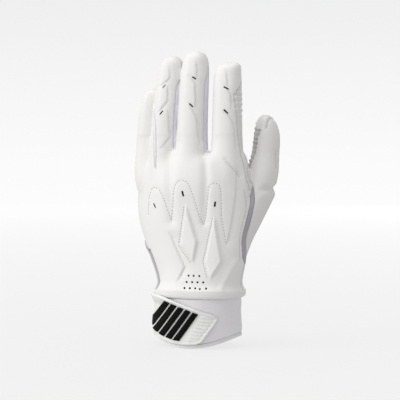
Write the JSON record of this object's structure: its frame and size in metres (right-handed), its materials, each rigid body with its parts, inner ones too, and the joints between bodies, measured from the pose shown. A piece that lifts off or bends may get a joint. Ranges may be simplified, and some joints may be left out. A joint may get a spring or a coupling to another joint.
{
  "type": "lineman football glove",
  "caption": "Left-hand padded football glove, filled as worn, with a moulded back, stretch strips between the fingers, mesh at the thumb and a rubber closure strap on the cuff.",
  "frame": {"origin": "centre of the wrist opening, level with the lowest point of the hem", "axes": "+Z from the wrist to the fingertips, -Y out of the back of the hand, +X towards the thumb"},
  "size_m": [0.1218, 0.0648, 0.2431],
  "materials": {
    "back_leather": "matt, fine grain, moulded",
    "palm_leather": "smooth matt synthetic leather",
    "stretch_knit": "fine stretch knit",
    "gusset_mesh": "open mesh",
    "cuff_neoprene": "knit-faced neoprene",
    "hem_tape": "folded woven tape",
    "strap_rubber": "satin moulded",
    "bar_rubber": "satin moulded"
  },
  "bodies": {
    "root": {"back_panel": "back_leather", "palm_panel": "palm_leather", "fourchette_index_middle": "stretch_knit", "fourchette_middle_ring": "stretch_knit", "fourchette_ring_pinky": "stretch_knit", "index_side_panel": "palm_leather", "pinky_gusset": "stretch_knit", "thumb_back": "palm_leather", "thumb_palm": "palm_leather", "thumb_side_strip": "palm_leather", "thumb_gusset": "gusset_mesh", "wrist_roll": "back_leather", "cuff": "cuff_neoprene", "hem_binding": "hem_tape", "strap": "strap_rubber", "strap_bar_1": "bar_rubber", "strap_bar_2": "bar_rubber", "strap_bar_3": "bar_rubber", "strap_bar_4": "bar_rubber", "strap_bar_5": "bar_rubber"}
  },
  "joints": []
}
